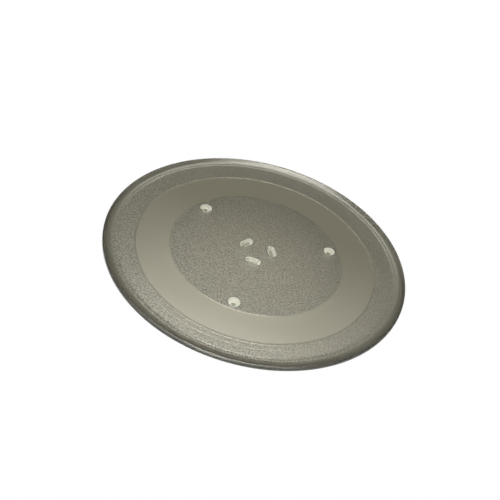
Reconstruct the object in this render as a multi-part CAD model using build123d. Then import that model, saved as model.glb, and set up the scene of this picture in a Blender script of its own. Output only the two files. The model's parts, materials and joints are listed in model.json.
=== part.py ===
from build123d import *
from math import radians, tan
import os

# Turntable plate of a microwave oven, pressed in one piece from glass.
#
# The plate is a shallow dish of nearly even thickness: a flat well and a rim that turns up in one curve to
# a rounded edge. Its underside has a smooth raised track that runs on the oven's roller ring, three
# bar-shaped lugs that the drive coupling turns, and three round feet that the plate stands on when it is
# out of the oven.
# Z is up and is the axis of rotation. Z = 0 is the surface that the feet stand on.

# Plate, in millimetres
outer_diameter = 315.0
base_thickness = 5.0

# Rim: curves up from the well; the rise and the thickness are those of the edge before it is rounded
rim_width = 12.3
rim_rise = 4.0
rim_edge_thickness = 5.6
rim_edge_radius = 1.8

# Wall: the stippled ring between the rim and the track
wall_width = 20.8

# Roller track: a smooth land that stands proud of the stippled glass on both sides of it
track_width = 33.0
track_land = 0.2
track_bevel = 1.4

# Drive lugs: tapered bars with round ends, their long sides across the radius
lug_count = 3
lug_circle_diameter = 31.5
lug_length = 15.8
lug_width = 8.0
lug_height = 6.3
lug_draft_angle = 16.0
lug_tip_radius = 2.0

# Feet: short tapered pegs with a rounded tip, just inside the track and in line with the lugs
foot_count = 3
foot_inset = 10.4
foot_height = 6.5
foot_diameter = 12.2
foot_draft_angle = 15.0
foot_tip_radius = 3.0

# Direction of the first lug and the first foot, in degrees from +X
first_angle = -90.0

# Radii, from the rim inwards
outer_radius = outer_diameter / 2
crease_radius = outer_radius - rim_width
track_outer_radius = crease_radius - wall_width
track_inner_radius = track_outer_radius - track_width
foot_circle_radius = track_inner_radius - foot_inset
lug_circle_radius = lug_circle_diameter / 2

# Levels, from the feet upwards
track_z = foot_height
panel_z = track_z + track_land
well_z = track_z + base_thickness
edge_top_z = well_z + rim_rise
edge_bottom_z = edge_top_z - rim_edge_thickness


def rounded(section, corner, radius):
    """The section with the corner at this point rounded."""
    return fillet(section.vertices().sort_by_distance(corner)[0], radius)


def plate_section():
    """Half of the plate's section: radius along X, height along Y."""
    disc_edge = (track_inner_radius - track_bevel, panel_z)
    track_inner = (track_inner_radius, track_z)
    track_outer = (track_outer_radius, track_z)
    wall_foot = (track_outer_radius + track_bevel, panel_z)
    rim_foot = (crease_radius, panel_z)
    edge_bottom = (outer_radius, edge_bottom_z)
    edge_top = (outer_radius, edge_top_z)
    crease = (crease_radius, well_z)

    underside = Polyline((0, panel_z), disc_edge, track_inner, track_outer, wall_foot, rim_foot)
    rim_underside = TangentArc(rim_foot, edge_bottom, tangent=(1, 0))
    edge = Line(edge_bottom, edge_top)
    rim_top = TangentArc(crease, edge_top, tangent=(1, 0))
    top = Polyline(crease, (0, well_z), (0, panel_z))
    section = make_face([underside, rim_underside, edge, rim_top, top])
    for corner in (edge_bottom, edge_top):
        section = rounded(section, corner, rim_edge_radius)
    return section


def drive_lug():
    """One lug under the centre of the plate, long side along Y."""
    base = Plane((0, 0, panel_z), x_dir=(0, 1, 0), z_dir=(0, 0, -1))
    lug = extrude(base * SlotOverall(lug_length, lug_width), lug_height, taper=lug_draft_angle)
    return fillet(lug.faces().sort_by(Axis.Z)[0].edges(), lug_tip_radius)


def foot():
    """One foot under the centre of the plate."""
    root_radius = foot_diameter / 2
    tip = (root_radius - panel_z * tan(radians(foot_draft_angle)), 0)
    section = make_face(Polyline((0, 0), tip, (root_radius, panel_z), (0, panel_z), close=True))
    return revolve(Plane.XZ * rounded(section, tip, foot_tip_radius), Axis.Z)


plate = revolve(Plane.XZ * plate_section(), Axis.Z)
plate += PolarLocations(lug_circle_radius, lug_count, first_angle) * drive_lug()
plate += PolarLocations(foot_circle_radius, foot_count, first_angle) * foot()

os.makedirs("parts", exist_ok=True)
export_step(plate, "parts/turntable_plate.step")
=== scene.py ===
# %% [markdown]
# # A microwave turntable plate in pressed glass
# The plate is one piece of glass: a flat well, a rim that turns up in one curve to a rounded edge, and
# underneath a smooth roller track, three drive lugs and three feet. Hot glass was pressed between a mould
# and a plunger, so every corner is rounded, and most of the underside carries a fine stipple that hides
# scratches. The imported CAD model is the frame: it says how large the plate is and where its faces lie.

# %% Load the frame
import json
import math

import bmesh
import bpy
from mathutils import Matrix, Vector


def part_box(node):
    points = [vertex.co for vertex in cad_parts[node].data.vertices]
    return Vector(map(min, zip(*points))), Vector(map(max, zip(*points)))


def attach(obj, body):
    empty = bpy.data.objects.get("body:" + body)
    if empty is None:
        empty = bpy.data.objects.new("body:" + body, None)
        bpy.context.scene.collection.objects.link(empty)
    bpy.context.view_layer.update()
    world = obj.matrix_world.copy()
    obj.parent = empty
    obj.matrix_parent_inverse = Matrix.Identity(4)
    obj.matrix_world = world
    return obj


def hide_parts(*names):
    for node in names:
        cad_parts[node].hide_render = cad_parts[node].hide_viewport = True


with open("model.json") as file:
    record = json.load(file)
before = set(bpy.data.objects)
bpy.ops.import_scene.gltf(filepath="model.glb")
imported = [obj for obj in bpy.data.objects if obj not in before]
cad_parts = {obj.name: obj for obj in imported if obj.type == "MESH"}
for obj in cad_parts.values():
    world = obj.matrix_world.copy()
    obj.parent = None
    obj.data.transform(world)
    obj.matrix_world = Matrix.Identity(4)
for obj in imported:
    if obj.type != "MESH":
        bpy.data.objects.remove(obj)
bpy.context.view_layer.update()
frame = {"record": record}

# %% [markdown]
# ## Sizes
# Sizes are in metres, as everything in the frame is, and `mm` keeps them readable. The radius and the
# surface under the feet come from the CAD box, and the levels of the track and the well from the mounts in
# the record. The other sizes repeat those of the CAD model, so the piece lies where the solid lies.

# %% Main sizes of the plate
mm = 0.001
plate_low, plate_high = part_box("turntable_plate")
mount_z = {mount["name"]: mount["pos_m"][2] for mount in frame["record"]["mounts"]}

outer_radius = (plate_high.x - plate_low.x) / 2
foot_z = plate_low.z
track_z = mount_z["roller_track"]
well_z = mount_z["well_floor"]

rim_width = 12.3 * mm
wall_width = 20.8 * mm
track_width = 33.0 * mm
track_land = 0.2 * mm

crease_radius = outer_radius - rim_width
track_outer_radius = crease_radius - wall_width
track_inner_radius = track_outer_radius - track_width
panel_z = track_z + track_land
print(f"plate: radius {outer_radius / mm:.2f} mm, well {well_z / mm:.2f} mm above the table")
print(f"track: from {track_inner_radius / mm:.2f} to {track_outer_radius / mm:.2f} mm")

# %% [markdown]
# ## The section of the plate
# The plate is a turned form, so it starts as half a section: points (radius, height) from the well, over
# the rim and back along the underside. It could be drawn as a curve and spun with the Screw modifier.
# Here the points are worked out instead, because the rings then fall exactly where the finish changes
# from polished to stippled.
#
# The plate has nearly the same thickness all over, as pressed glass likes it. The well is flat out to a
# fine crease, and there the rim turns up: its top and its underside are arcs that start level and climb to
# the edge. A circle that touches both the arc and the upright edge rounds each corner. Its centre is one
# edge radius inside the edge, and one edge radius below the top arc or above the lower one.

# %% Arcs of the rim
rim_rise = 4.0 * mm
rim_edge_thickness = 5.6 * mm
rim_edge_radius = 1.8 * mm


def rim_arc(level, rise, inset):
    """Radius and centre of a rim arc, and centre and bearing of the edge circle that touches it."""
    radius = (rim_width**2 + rise**2) / (2 * rise)
    centre = (crease_radius, level + radius)
    reach = rim_width - rim_edge_radius
    drop = math.sqrt((radius + inset) ** 2 - reach**2)
    edge_circle = (outer_radius - rim_edge_radius, centre[1] - drop)
    return radius, centre, edge_circle, math.degrees(math.atan2(-drop, reach))


low_rise = rim_rise - rim_edge_thickness + well_z - panel_z
top_radius, top_centre, top_circle, top_bearing = rim_arc(well_z, rim_rise, rim_edge_radius)
low_radius, low_centre, low_circle, low_bearing = rim_arc(panel_z, low_rise, -rim_edge_radius)
print(f"rim arcs: radius {top_radius / mm:.1f} mm on top, {low_radius / mm:.1f} mm underneath")

# %% [markdown]
# `arc` gives points on a circle, and four arcs in a row make the rim. Its top starts to turn more gently
# than a plain arc does, so those points sink by up to 0.3 mm half-way. That is hardly a change of shape, but
# glass is a mirror and shows it: the dark band along the rim then fades in, where a plain arc would start it
# at a hard line.

# %% Section of the rim
rim_ease = 0.3 * mm
# The top arc starts three degrees on, which leaves room for the crease.
rim_start = -87


def arc(centre, radius, first, last, steps):
    """Points on a circle from the first to the last angle, in degrees."""
    turns = [math.radians(first + (last - first) * i / steps) for i in range(steps + 1)]
    return [(centre[0] + radius * math.cos(t), centre[1] + radius * math.sin(t)) for t in turns]


rim = []
top_arc = arc(top_centre, top_radius, rim_start, top_bearing, steps=16)
for radius, z in top_arc:
    along = (radius - crease_radius) / (top_arc[-1][0] - crease_radius)
    rim.append((radius, z - rim_ease * math.sin(math.pi * along) ** 2))
rim += arc(top_circle, rim_edge_radius, top_bearing + 180, 0, steps=14)[1:]
rim += arc(low_circle, rim_edge_radius, 0, low_bearing, steps=8)
rim += arc(low_centre, low_radius, low_bearing, -90, steps=12)[1:]
print(f"rim: {len(rim)} rings, crest at {max(z for _, z in rim) / mm:.2f} mm")

# %% [markdown]
# The crease is a shallow groove that the edge of the plunger left in the top. It is only 0.3 mm deep, but
# its two sides mirror another part of the room, and that draws a thin line round the well.

# %% Section of the crease
groove_depth = 0.3 * mm
groove_half_width = 0.8 * mm
groove_bottom_half = 0.2 * mm

crease = [
    (crease_radius - 2 * groove_half_width, well_z),
    (crease_radius - groove_half_width, well_z),
    (crease_radius - groove_bottom_half, well_z - groove_depth),
    (crease_radius + groove_bottom_half, well_z - groove_depth),
]
print(f"crease: {len(crease)} rings")

# %% [markdown]
# The underside of the wall, the ring between rim and track, carries two narrow frames, a long one and a
# short one, moulded as fine ridges round a bare field. Each ridge is a little trapezium: it climbs, runs
# level and falls again. Rings and spokes of the mesh lie on exactly those lines, so its sides are crisp.

# %% Moulded frames on the wall
ridge_height = 0.15 * mm
ridge_ramp = 0.35 * mm
ridge_top = 0.6 * mm
ridge_lines = (0, ridge_ramp, ridge_ramp + ridge_top, 2 * ridge_ramp + ridge_top)

moulding_gap = 2.6 * mm
moulding_width = 7.0 * mm
moulding_angles = [(-119.0, -60.0), (-54.0, -46.0)]
moulding_inner = track_outer_radius + moulding_gap
moulding_outer = moulding_inner + moulding_width


def ridge_depth(radius, angle):
    """How far a frame's ridge stands down from the wall at this place."""
    deepest = 0.0
    for start, end in moulding_angles:
        along = min(math.radians(angle - start), math.radians(end - angle)) * moulding_inner
        inside = min(along, radius - moulding_inner, moulding_outer - radius)
        climb = min(inside, ridge_lines[-1] - inside) / ridge_ramp
        deepest = max(deepest, ridge_height * min(max(climb, 0), 1))
    return deepest


crease_gap = 0.5 * mm
wall = [(crease_radius - crease_gap, panel_z)]
wall += [(moulding_outer - line, panel_z) for line in ridge_lines]
wall += [(moulding_inner + line, panel_z) for line in reversed(ridge_lines)]
print(f"wall: {len(wall)} rings, {len(moulding_angles)} frames")

# %% [markdown]
# The roller track stands proud of the stippled glass on both sides of it, with a soft bevel at each edge.
# The bevels are what the eye finds first: they bend the light and draw two fine rings. `round_corner` puts
# an arc in place of a sharp corner, as the Bevel tool does with several segments.

# %% Section of the underside
track_bevel = 1.4 * mm
track_corner_radius = 3.0 * mm
rim_foot = (crease_radius, panel_z)
wall_foot = (track_outer_radius + track_bevel, panel_z)
track_outer = (track_outer_radius, track_z)
track_inner = (track_inner_radius, track_z)
disc_edge = (track_inner_radius - track_bevel, panel_z)
disc_centre = (0, panel_z)


def round_corner(before, corner, after, radius, steps):
    """Points on the arc of this radius that touches both straight lines through the corner."""
    corner = Vector(corner)
    to_before = (Vector(before) - corner).normalized()
    to_after = (Vector(after) - corner).normalized()
    half_angle = to_before.angle(to_after) / 2
    reach = radius / math.tan(half_angle)
    centre = corner + (to_before + to_after).normalized() * (radius / math.sin(half_angle))
    start = corner + to_before * reach - centre
    end = corner + to_after * reach - centre
    return [tuple(centre + radius * start.slerp(end, i / steps)) for i in range(steps + 1)]


corners = [rim_foot, wall_foot, track_outer, track_inner, disc_edge, disc_centre]
track = []
for before, corner, after in zip(corners, corners[1:], corners[2:]):
    track += round_corner(before, corner, after, track_corner_radius, steps=3)
section = crease + rim + wall + track
print(f"section: {len(section)} rings")

# %% [markdown]
# ## From section to mesh
# Each point of the section becomes a ring of vertices. The rings share one list of angles, the spokes:
# every degree, and a few more at the ends of the moulded frames.

# %% Spokes
spokes = {-180.0 + i for i in range(360)}
for start, end in moulding_angles:
    for line in ridge_lines:
        turn = math.degrees(line / moulding_inner)
        spokes |= {round(start + turn, 4), round(end - turn, 4)}
spokes = sorted(spokes)
print(f"spokes: {len(spokes)}")

# %% [markdown]
# Neighbouring rings are joined by four-sided faces, and one large face closes the well. The Spin tool
# would do this for plain rings, but the ridges of the frames break the symmetry, so each ring of the wall
# is set down where a ridge crosses it.

# %% Turn the section
middle_z = (track_z + well_z) / 2


def join_loops(mesh, first, second):
    """Four-sided faces between two closed loops that have as many vertices."""
    for i in range(len(first)):
        mesh.faces.new((first[i - 1], first[i], second[i], second[i - 1]))


def ring_points(radius, z):
    """Points of one ring of the plate, set down by the ridges of the frames."""
    on_wall = wall_foot[0] < radius < crease_radius and z < middle_z
    points = []
    for angle in spokes:
        turn = math.radians(angle)
        depth = ridge_depth(radius, angle) if on_wall else 0.0
        points.append(Vector((radius * math.cos(turn), radius * math.sin(turn), z - depth)))
    return points


plate_mesh = bmesh.new()
rings = [[plate_mesh.verts.new(p) for p in ring_points(*point)] for point in section]
for first, second in zip(rings, rings[1:]):
    join_loops(plate_mesh, first, second)
plate_mesh.faces.new(rings[0])
print(f"turned form: {len(plate_mesh.faces)} faces")

# %% [markdown]
# ## Lugs and feet
# A lug and a foot, the studs of the plate, are made alike: an outline that shrinks as it goes down. `flank`
# gives the steps of one side, as pairs of how far the outline has drawn in and how far down it is: a hollow
# radius where it grows out of the plate, a straight side with the draft that lets it leave the mould, and
# a rounded tip.
#
# Three lugs round the centre take the arms of the oven's drive coupling. They are bars with round ends.

# %% Form of a lug
lug_circle = 15.75 * mm
lug_length, lug_width, lug_height = 15.8 * mm, 8.0 * mm, 6.3 * mm
lug_draft = math.radians(16)
lug_root_radius = 2.4 * mm
lug_tip_radius = 2.0 * mm
root_steps, tip_steps = 8, 6


def flank(height, draft, root, tip):
    """Steps (draw in, depth) down a drafted side with a hollow root radius and a rounded tip."""
    sine, cosine = math.sin(draft), math.cos(draft)
    root_turns = [(math.pi / 2 - draft) * i / root_steps for i in range(root_steps + 1)]
    tip_turns = [draft + (math.pi / 2 - draft) * i / tip_steps for i in range(tip_steps + 1)]
    root_start = root * (1 - sine) / cosine
    tip_start = (tip + (height - tip) * sine) / cosine
    steps = [(root * math.sin(t) - root_start, root * (1 - math.cos(t))) for t in root_turns]
    steps += [(tip_start - tip * math.cos(t), height - tip + tip * math.sin(t)) for t in tip_turns]
    return steps


def bar_outline(length, width, drawn):
    """Outline of a bar with round ends, long across the radius, once it has drawn in this far."""
    end = (length - width) / 2
    radius = width / 2 - drawn
    return arc((0, end), radius, 0, 180, steps=16) + arc((0, -end), radius, 180, 360, steps=16)


lug_steps = flank(lug_height, lug_draft, lug_root_radius, lug_tip_radius)
lug_outlines = [(bar_outline(lug_length, lug_width, drawn), depth) for drawn, depth in lug_steps]
print(f"lug: {len(lug_outlines)} outlines")

# %% [markdown]
# Three feet keep the lugs off the table when the plate stands outside the oven. A foot is a short drafted
# peg. Its tip is a little rounder here than in the CAD model, because that comes nearer to the photo.

# %% Form of a foot
foot_inset = 10.4 * mm
foot_circle = track_inner_radius - foot_inset
foot_radius = 6.1 * mm
foot_draft = math.radians(15)
foot_root_radius = 2.2 * mm
foot_tip_radius = 3.8 * mm


def round_outline(radius, drawn):
    """Outline of a round foot, once it has drawn in this far."""
    return arc((0, 0), radius - drawn, 0, 360, steps=48)[1:]


foot_steps = flank(panel_z - foot_z, foot_draft, foot_root_radius, foot_tip_radius)
foot_outlines = [(round_outline(foot_radius, drawn), depth) for drawn, depth in foot_steps]
print(f"foot: {len(foot_outlines)} outlines")

# %% [markdown]
# Both sets sit at the same three angles. One lug and one foot could be made as objects and copied with an
# Array modifier, but they are part of the same glass, so they go straight into the mesh of the plate.

# %% Add lugs and feet
stud_angles = (-90, 30, 150)


def add_stud(mesh, outlines, place):
    """A lug or foot from its outlines, each with its depth. Returns the loop where it meets the panel."""
    loops = []
    for outline, depth in outlines:
        points = [place @ Vector((x, y, panel_z - depth)) for x, y in outline]
        loops.append([mesh.verts.new(p) for p in points])
    for first, second in zip(loops, loops[1:]):
        join_loops(mesh, first, second)
    mesh.faces.new(loops[-1])
    return loops[0]


roots = []
for angle in stud_angles:
    turned = Matrix.Rotation(math.radians(angle), 4, "Z")
    lug_place = turned @ Matrix.Translation((lug_circle, 0, 0))
    foot_place = turned @ Matrix.Translation((foot_circle, 0, 0))
    roots.append(add_stud(plate_mesh, lug_outlines, lug_place))
    roots.append(add_stud(plate_mesh, foot_outlines, foot_place))
print(f"lugs and feet: {len(roots)}")

# %% [markdown]
# The panel between the track and the studs is flat, so it needs no rings of its own: one fill closes the
# face between the last ring and the roots of the lugs and feet.

# %% Fill the panel
sides = [(loop[i - 1], loop[i]) for loop in [rings[-1], *roots] for i in range(len(loop))]
edges = [plate_mesh.edges.get(side) or plate_mesh.edges.new(side) for side in sides]
bmesh.ops.triangle_fill(plate_mesh, edges=edges, use_beauty=True)
bmesh.ops.recalc_face_normals(plate_mesh, faces=plate_mesh.faces)
open_edges = [edge for edge in plate_mesh.edges if not edge.is_manifold]
print(f"plate: {len(plate_mesh.faces)} faces, {len(open_edges)} open edges")

# %% [markdown]
# ## Where the glass is stippled
# The glass is smooth where the mould was polished, and stippled where the mould was blasted with grit. The
# lugs and feet look milky in the photo, so they are given a frosted skin, which is a guess. The mesh keeps
# all this as five numbers per face, which the material reads. Grit is the height of the stipple, loss the
# light that it throws aside together with painted shade, fleck how much that varies from grain to grain,
# haze the roughness, and frost the share of frosted glass. The hollow at the root of a lug or foot has the
# full loss as painted shade, which draws a dark outline round it. The rounded edge and the outer bevel of
# the track carry weaker painted shade in the same way.

# %% Finish of each zone
zones = {
    "polished": {},
    "disc": {"grit": 0.6, "loss_and_painted_shade": 0.66, "fleck": 0.45, "haze": 0.28},
    "wall": {"grit": 0.12, "loss_and_painted_shade": 0.58, "fleck": 0.62, "haze": 0.28},
    # The loss of the edge, the bevel and the root is painted shade.
    "edge": {"loss_and_painted_shade": 0.45},
    "bevel": {"loss_and_painted_shade": 0.4},
    "root": {"loss_and_painted_shade": 1.0},
    "lug": {"frost": 1.0},
    "foot": {"frost": 0.9},
}
finish_names = ("grit", "loss_and_painted_shade", "fleck", "haze", "frost")
layers = {name: plate_mesh.faces.layers.float.new(name) for name in finish_names}
print("zones:", ", ".join(zones))

# %% [markdown]
# The zone of a face follows from where it lies and which way it faces. The tips of the studs, the ridges
# of the frames, the track up to its outer bevel, and everything on top but the edge are polished. The frost
# of a lug runs far up into its hollow root, and that of a foot less far.

# %% Zone of a face
below_panel = 0.02 * mm
lug_root_depth, foot_root_depth = 0.1 * mm, 0.5 * mm
edge_width = 3.2 * mm
# A face belongs to a tip or to the underside when its normal points down further than this.
lug_tip_down, foot_tip_down, underside_down = -0.8, -0.95, -0.85


def stud_zone(depth, radius, down):
    """The zone of a face on a lug or foot."""
    on_lug = radius < foot_circle / 2
    if depth < (lug_root_depth if on_lug else foot_root_depth):
        # The hollow root is a zone of painted shade.
        return "root"
    if down < (lug_tip_down if on_lug else foot_tip_down):
        return "polished"
    return "lug" if on_lug else "foot"


def zone_of(middle, down):
    """The zone of the face at this place, which gives its finish from the mould and its painted shade."""
    radius = middle.xy.length
    depth = panel_z - middle.z
    if radius < disc_edge[0] and depth > below_panel:
        return stud_zone(depth, radius, down)
    if down > underside_down:
        # The rounded edge is a zone of painted shade.
        return "edge" if radius > outer_radius - edge_width else "polished"
    if disc_edge[0] < radius < wall_foot[0]:
        # The outer bevel of the track is a zone of painted shade.
        return "bevel" if radius > track_outer_radius else "polished"
    if radius < disc_edge[0]:
        return "disc"
    on_ridge = ridge_depth(radius, math.degrees(math.atan2(middle.y, middle.x))) > 0
    return "polished" if on_ridge else "wall"


print("middle of the underside:", zone_of(Vector((0, 0, panel_z)), -1.0))

# %% [markdown]
# The stipple runs on under the rim, and there the single grains run together. Painted shade darkens the
# wall more and more towards the edge, and a little more at the back than at the front. That follows the
# photo.

# %% Mark the faces
under_rim_painted_shade = 0.4
back_painted_shade = 0.06
fleck_fade = 2.0
faces_of = dict.fromkeys(zones, 0)
for face in plate_mesh.faces:
    middle = face.calc_center_median()
    zone = zone_of(middle, face.normal.z)
    faces_of[zone] += 1
    face.smooth = True
    for name, layer in layers.items():
        face[layer] = zones[zone].get(name, 0.0)
    if zone == "wall":
        under_rim = max(0, (middle.xy.length - crease_radius) / rim_width)
        # Painted shade: darker towards the edge of the rim and towards the back.
        face[layers["loss_and_painted_shade"]] += under_rim_painted_shade * under_rim + back_painted_shade * middle.y / outer_radius
        face[layers["fleck"]] *= max(0, 1 - fleck_fade * under_rim)
print("faces by zone:", faces_of)

# %% [markdown]
# The mesh is complete, so it becomes an object of the scene. It rides on the plate's only body and stands
# for the CAD solid, which stays hidden behind it for collision.

# %% Make the piece
plate_data = bpy.data.meshes.new("glass_plate")
plate_mesh.to_mesh(plate_data)
plate_mesh.free()
plate = bpy.data.objects.new("glass_plate", plate_data)
bpy.context.scene.collection.objects.link(plate)
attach(plate, "root")
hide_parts("turntable_plate")
print(f"piece: {plate.name}, {len(plate_data.polygons)} faces")

# %% [markdown]
# Smooth shading averages the normals of the faces round a vertex, which would bend the light at the rim
# of a large flat face. The Weighted Normal modifier lets the larger face decide, so the well, the track
# and the tips stay optically flat and only the small radii turn the light.

# %% Keep flat faces flat
flat_faces = plate.modifiers.new("flat faces stay flat", "WEIGHTED_NORMAL")
flat_faces.mode = "FACE_AREA"
flat_faces.weight = 100
flat_faces.keep_sharp = False
print("modifiers:", [modifier.name for modifier in plate.modifiers])

# %% [markdown]
# ## Pressed glass
# The plate is taken to be pressed soda-lime glass, as such plates often are. That gives an IOR of 1.52, and
# a perfectly smooth skin where the mould was polished. Colours are written as sRGB hex, the way they are
# picked from a screen, and `linear` turns them into what Blender reckons with. `add_node` puts a node in a
# material, sets it and links it, and hands back the output that the next node needs.

# %% Helpers for materials
def linear(hex_colour):
    """A colour written as sRGB hex, as linear red, green, blue and alpha."""
    parts = [int(hex_colour[i : i + 2], 16) / 255 for i in (1, 3, 5)]
    return [c / 12.92 if c <= 0.04045 else ((c + 0.055) / 1.055) ** 2.4 for c in parts] + [1.0]


def add_node(tree, kind, settings, inputs, output=0):
    """Adds a node with its settings, its input values and its links. Returns one of its outputs."""
    node = tree.nodes.new(kind)
    for name, value in settings.items():
        setattr(node, name, value)
    for name, value in inputs.items():
        if isinstance(value, bpy.types.NodeSocket):
            tree.links.new(value, node.inputs[name])
        else:
            node.inputs[name].default_value = value
    return node.outputs[output] if len(node.outputs) else None


print("a middle grey of #808080 is", round(linear("#808080")[0], 3), "in linear light")

# %% [markdown]
# The stipple is the print of a grit-blasted mould: a fine random grain, taken to be a little under a
# millimetre wide. A Noise texture without detail gives such a grain. It is drawn about twice as coarse as
# that, because a finer grain would vanish between the pixels. The Attribute nodes fetch the five numbers of
# the zone, and Bump tilts the skin where there is grit.

# %% Stipple of the glass
stipple_pitch = 1.6 * mm
stipple_depth = 0.5 * mm

glass = bpy.data.materials.new("pressed soda-lime glass")
glass.use_nodes = True
glass_tree = glass.node_tree
glass_tree.nodes.clear()
grit, loss_and_painted_shade, fleck, haze, frost = [
    add_node(glass_tree, "ShaderNodeAttribute", {"attribute_name": name}, {}, "Fac")
    for name in finish_names
]
glass_place = add_node(glass_tree, "ShaderNodeTexCoord", {}, {}, "Object")
noise = {"Vector": glass_place, "Scale": 1 / stipple_pitch, "Detail": 0.0}
grain = add_node(glass_tree, "ShaderNodeTexNoise", {}, noise, "Fac")
height = add_node(glass_tree, "ShaderNodeMath", {"operation": "MULTIPLY"}, {0: grain, 1: grit})
relief = {"Height": height, "Distance": stipple_depth, "Strength": 1.0}
skin = add_node(glass_tree, "ShaderNodeBump", {}, relief, "Normal")
print(f"stipple: {stipple_pitch / mm:.1f} mm pitch")

# %% [markdown]
# Each grain throws part of the light aside, and the eye sees less of what lies below. To trace that grain
# by grain would take far too many rays, so the loss is a grey in the Base Color, which tints what passes
# through the skin and also carries the painted shade of some zones. It swings round its mean with the grain,
# by as much as the zone's fleck. In the photo the grain is strongest at the near left and fades across the
# plate, because of its light. Here that is painted sparkle, fixed to the glass, so it stays in place when
# the plate is seen from another side.

# %% Contrast of the grain, with painted sparkle
grain_range = {"From Min": 0.3, "From Max": 0.7, "To Min": 1.0, "To Max": -1.0}
painted_sparkle_centre = (-50 * mm, -100 * mm, 0.0)
painted_sparkle_range = {"From Min": 60 * mm, "From Max": 230 * mm, "To Min": 1.15, "To Max": 0.35}

swing = add_node(glass_tree, "ShaderNodeMapRange", {}, {"Value": grain} | grain_range)
# Painted sparkle: the grain's swing is strongest near this point and fades with distance from it.
fade_line = {0: glass_place, 1: painted_sparkle_centre}
far_off = add_node(glass_tree, "ShaderNodeVectorMath", {"operation": "DISTANCE"}, fade_line, "Value")
painted_sparkle = add_node(glass_tree, "ShaderNodeMapRange", {}, {"Value": far_off} | painted_sparkle_range)
contrast = add_node(glass_tree, "ShaderNodeMath", {"operation": "MULTIPLY"}, {0: fleck, 1: painted_sparkle})
swung = {0: swing, 1: contrast, 2: 1.0}
tone = add_node(glass_tree, "ShaderNodeMath", {"operation": "MULTIPLY_ADD"}, swung)
print("grain: strongest", [round(v / mm) for v in painted_sparkle_centre[:2]], "mm from the axis")

# %% [markdown]
# A Mix node then goes from the near white of clear glass to a dark grey, which here stands for light lost in
# the stipple, painted shade and painted sparkle together. It has its own sockets for each kind of data, and
# for colours they are found by number.

# %% Light lost in the stipple, with painted shade and sparkle
factor, colour_a, colour_b, colour_out = 0, 6, 7, 2
lost_and_painted_light = add_node(glass_tree, "ShaderNodeMath", {"operation": "MULTIPLY"}, {0: loss_and_painted_shade, 1: tone})
greys = {factor: lost_and_painted_light, colour_a: linear("#f3f3f1"), colour_b: linear("#4a4a4a")}
veil_and_painted_light = add_node(glass_tree, "ShaderNodeMix", {"data_type": "RGBA"}, greys, colour_out)
print("base colour:", veil_and_painted_light.node.name, "by", lost_and_painted_light.node.operation)

# %% [markdown]
# Frosted glass lets little through and scatters the rest like milk glass, so frost takes away most of the
# Transmission and leaves a pale, milky body. The glass itself has a weak yellow-green tint that deepens with
# every millimetre: through the flat of the plate the light keeps nearly all its strength, and along the rim,
# where it goes centimetres, it is much darker. That is Volume Absorption.

# %% Body of the glass
clear_range = {"To Min": 1.0, "To Max": 0.25}
clear = add_node(glass_tree, "ShaderNodeMapRange", {}, {"Value": frost} | clear_range)
body = {
    "Base Color": veil_and_painted_light,
    "Roughness": haze,
    "IOR": 1.52,
    "Transmission Weight": clear,
    "Normal": skin,
}
surface = add_node(glass_tree, "ShaderNodeBsdfPrincipled", {}, body)
tint = {"Color": linear("#c4c490"), "Density": 12.0}
volume = add_node(glass_tree, "ShaderNodeVolumeAbsorption", {}, tint)
add_node(glass_tree, "ShaderNodeOutputMaterial", {}, {"Surface": surface, "Volume": volume})
plate_data.materials.append(glass)
print(f"material: {glass.name}, {len(glass_tree.nodes)} nodes")

# %% [markdown]
# ## Floor and light
# Clear glass on white paper nearly vanishes, so a photographer slips a grey card under it: the glass then
# shows the card's grey, and the paper round it stays white. Here both sheets lie under the whole scene
# and Ray Visibility sorts them. The camera sees the white paper, and rays that have come through glass see
# the grey card, so no edge of the card can peep out from any side. Both sheets glow by themselves, because
# a lit sheet would show a good deal of noise through the glass.

# %% Helpers for the stage
stage_radius = 4.0


def glowing(name, hex_colour):
    """A matt material that gives off this colour."""
    material = bpy.data.materials.new(name)
    material.use_nodes = True
    shader = material.node_tree.nodes["Principled BSDF"]
    shader.inputs["Base Color"].default_value = linear("#000000")
    shader.inputs["Specular IOR Level"].default_value = 0.0
    shader.inputs["Emission Color"].default_value = linear(hex_colour)
    shader.inputs["Emission Strength"].default_value = 1.0
    return material


def add_stage(name, mesh, material):
    """An object of the stage from this mesh, which is not part of the plate."""
    data = bpy.data.meshes.new(name)
    mesh.to_mesh(data)
    mesh.free()
    data.materials.append(material)
    sheet = bpy.data.objects.new(name, data)
    sheet.location.z = foot_z
    bpy.context.scene.collection.objects.link(sheet)
    return sheet


def flat_sheet():
    """A square sheet that lies under the plate."""
    mesh = bmesh.new()
    bmesh.ops.create_grid(mesh, x_segments=1, y_segments=1, size=stage_radius)
    return mesh


print(f"stage: {2 * stage_radius:.0f} m across")

# %% [markdown]
# The paper lies flat and stands up again far off, all the way round, as a roll of background paper does
# behind a table. The upright part is there only for the camera: the plate mirrors the studio above it.

# %% White paper
paper = glowing("white background paper", "#ffffff")
paper_floor = add_stage("paper_floor", flat_sheet(), paper)
paper_floor.visible_transmission = False
paper_floor.visible_diffuse = False

upright_mesh = bmesh.new()
upright_size = {"radius1": stage_radius, "radius2": stage_radius, "depth": 2 * stage_radius}
bmesh.ops.create_cone(upright_mesh, segments=96, **upright_size)
paper_wall = add_stage("paper_wall", upright_mesh, paper)
paper_wall.visible_diffuse = False
paper_wall.visible_glossy = False
paper_wall.visible_transmission = False
paper_wall.visible_shadow = False
print("paper:", paper_floor.name, paper_wall.name)

# %% [markdown]
# The grey card is half as bright again in the middle, because the photo shows the middle of the stippled
# disc brighter than its edge. This pool of light falls off with the square of the distance, which keeps its
# middle even.

# %% Grey card
pool_centre = (0.0, -10 * mm, 0.0)
pool_radius = 95 * mm
pool_light = 1.5

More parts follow.
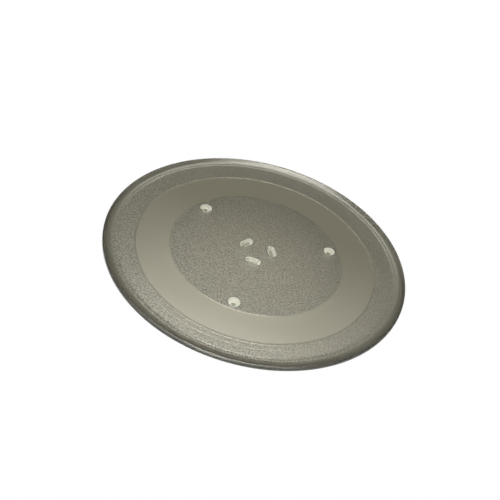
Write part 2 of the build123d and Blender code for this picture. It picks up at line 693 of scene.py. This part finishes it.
card = glowing("matt grey card", "#878374")
card_tree = card.node_tree
card_place = add_node(card_tree, "ShaderNodeTexCoord", {}, {}, "Object")
pool_line = {0: card_place, 1: pool_centre}
aside = add_node(card_tree, "ShaderNodeVectorMath", {"operation": "DISTANCE"}, pool_line, "Value")
square = add_node(card_tree, "ShaderNodeMath", {"operation": "POWER"}, {0: aside, 1: 2.0})
pool_range = {"From Max": pool_radius**2, "To Min": pool_light, "To Max": 1.0}
pool = add_node(card_tree, "ShaderNodeMapRange", {}, {"Value": square} | pool_range)
card_tree.links.new(pool, card_tree.nodes["Principled BSDF"].inputs["Emission Strength"])
card_floor = add_stage("card_floor", flat_sheet(), card)
card_floor.visible_camera = False
card_floor.visible_glossy = False
card_floor.visible_shadow = False
print("card:", card_floor.name)

# %% [markdown]
# Flat glass is a mirror for a few percent of the light, so what hangs above the plate matters more than any
# lamp. The studio is therefore painted in the world's colour, as soft patches of light. `share_near` gives
# such a patch: it grows from nothing at one angle from its centre to its full strength at another.

# %% Helpers for the studio sky
sky = bpy.data.worlds.new("studio sky")
sky.use_nodes = True
sky_tree = sky.node_tree
sky_tree.nodes.clear()
direction = add_node(sky_tree, "ShaderNodeTexCoord", {}, {}, "Generated")


def toward(bearing, elevation):
    """Unit vector for a bearing from +X and an elevation, in degrees."""
    b, e = math.radians(bearing), math.radians(elevation)
    return Vector((math.cos(e) * math.cos(b), math.cos(e) * math.sin(b), math.sin(e)))


def share_near(centre, edge, core):
    """Share that grows from 0 to 1 between two angles from the centre of a patch of sky."""
    pair = {0: direction, 1: centre}
    cosine = add_node(sky_tree, "ShaderNodeVectorMath", {"operation": "DOT_PRODUCT"}, pair, "Value")
    limits = {"From Min": math.cos(math.radians(edge)), "From Max": math.cos(math.radians(core))}
    return add_node(sky_tree, "ShaderNodeMapRange", {}, {"Value": cosine} | limits)


print(f"sky: {sky.name}, {len(sky_tree.nodes)} node so far")

# %% [markdown]
# The main light is a large tent that is bright overhead and behind the camera and fades to dark low at the
# back, so the near half of the plate mirrors the bright part and the far half the dark part. It has a
# brighter fringe, and it is brightest in a broad strip along its middle and dim at both sides.

# %% Tent
tent_bearing, tent_height = -92.4, 60
tent_centre = toward(tent_bearing, tent_height)
tent_edge, tent_core, tent_fall = 82.8, 73.1, 1.5
fringe_edge, fringe_core, fringe_light = 75, 72.5, 0.3
strip_offset = 0.06
strip_range = {"From Min": 0.13, "From Max": 0.24, "To Min": 2.9, "To Max": 0.4}

whole = share_near(tent_centre, tent_edge, tent_core)
cloth = add_node(sky_tree, "ShaderNodeMath", {"operation": "POWER"}, {0: whole, 1: tent_fall})
fringe = {0: share_near(tent_centre, fringe_edge, fringe_core), 1: fringe_light, 2: cloth}
tent = add_node(sky_tree, "ShaderNodeMath", {"operation": "MULTIPLY_ADD"}, fringe)
across = {0: direction, 1: (1, 0, 0)}
sideways = add_node(sky_tree, "ShaderNodeVectorMath", {"operation": "DOT_PRODUCT"}, across, "Value")
offset = {0: sideways, 1: strip_offset}
lateral = add_node(sky_tree, "ShaderNodeMath", {"operation": "ADD"}, offset)
off_strip = add_node(sky_tree, "ShaderNodeMath", {"operation": "ABSOLUTE"}, {0: lateral})
strip = add_node(sky_tree, "ShaderNodeMapRange", {}, {"Value": off_strip} | strip_range)
print("tent: bright within", tent_core, "degrees of its centre")

# %% [markdown]
# Two smaller lights help it. A broad front light behind the camera fills the frosted lugs and feet and the
# near rim, and a small lamp high at the back glints in the curve of the far rim and in the stipple.

# %% Front light and lamp
front_height, lamp_bearing, lamp_height = 35, 95, 78
front_edge, front_core, front_light = 70, 45, 2.1
lamp_edge, lamp_core, lamp_light = 18, 8, 4.4
front = share_near(toward(tent_bearing, front_height), front_edge, front_core)
lamp = share_near(toward(lamp_bearing, lamp_height), lamp_edge, lamp_core)

hung = add_node(sky_tree, "ShaderNodeMath", {"operation": "MULTIPLY"}, {0: tent, 1: strip})
with_lamp = {0: lamp, 1: lamp_light, 2: hung}
upper = add_node(sky_tree, "ShaderNodeMath", {"operation": "MULTIPLY_ADD"}, with_lamp)
with_front = {0: front, 1: front_light, 2: upper}
glow = add_node(sky_tree, "ShaderNodeMath", {"operation": "MULTIPLY_ADD"}, with_front)
print("lights:", front_light, "in front,", lamp_light, "at the back")

# %% [markdown]
# The tent is of warm cloth and the front light a little cooler, so the colour follows the share of the front
# light. The Standard view transform shows colours as they are, without the film look of the default one.

# %% World
hues = {factor: front, colour_a: linear("#fffbed"), colour_b: linear("#fffff9")}
hue = add_node(sky_tree, "ShaderNodeMix", {"data_type": "RGBA"}, hues, colour_out)
backdrop = add_node(sky_tree, "ShaderNodeBackground", {}, {"Color": hue, "Strength": glow})
add_node(sky_tree, "ShaderNodeOutputWorld", {}, {"Surface": backdrop})

scene = bpy.context.scene
scene.world = sky
scene.view_settings.view_transform = "Standard"
print(f"world: {sky.name}, {len(sky_tree.nodes)} nodes")

# %% [markdown]
# ## Camera
# The camera stands about forty degrees above the table, five plate radii away, and is rolled by about a
# sixth of a right angle, as the photo is. A lens of 55 mm gives that view.

# %% Place and aim of the camera
camera_azimuth = math.radians(6.2)
camera_elevation = math.radians(39.94)
camera_roll = math.radians(-15.65)
camera_distance = 5.008 * outer_radius
camera_aside = 0.0471 * outer_radius
camera_above = 0.0014 * outer_radius
target_lift = 2.5 * mm
target = Vector((0, 0, track_z + target_lift))

swivel = Matrix.Rotation(camera_azimuth, 3, "Z")
right = swivel @ Vector((1, 0, 0))
up = swivel @ Vector((0, math.sin(camera_elevation), math.cos(camera_elevation)))
ahead = swivel @ Vector((0, math.cos(camera_elevation), -math.sin(camera_elevation)))
rolled_right = right * math.cos(camera_roll) - up * math.sin(camera_roll)
rolled_up = right * math.sin(camera_roll) + up * math.cos(camera_roll)
aim = Matrix((rolled_right, rolled_up, -ahead)).transposed().to_4x4()
stand = target - right * camera_aside - up * camera_above - ahead * camera_distance
print("camera at", [round(v, 3) for v in stand])

# %% [markdown]
# A camera in Blender looks down its own -Z axis with +Y up, so the three directions above are the columns
# of its rotation. The sensor is the usual 36 mm wide.

# %% Camera
camera_data = bpy.data.cameras.new("camera")
camera_data.sensor_width = 36.0
camera_data.lens = 55.1
camera = bpy.data.objects.new("camera", camera_data)
camera.matrix_world = Matrix.Translation(stand) @ aim
scene.collection.objects.link(camera)
scene.camera = camera
print(f"lens: {camera_data.lens:.1f} mm")
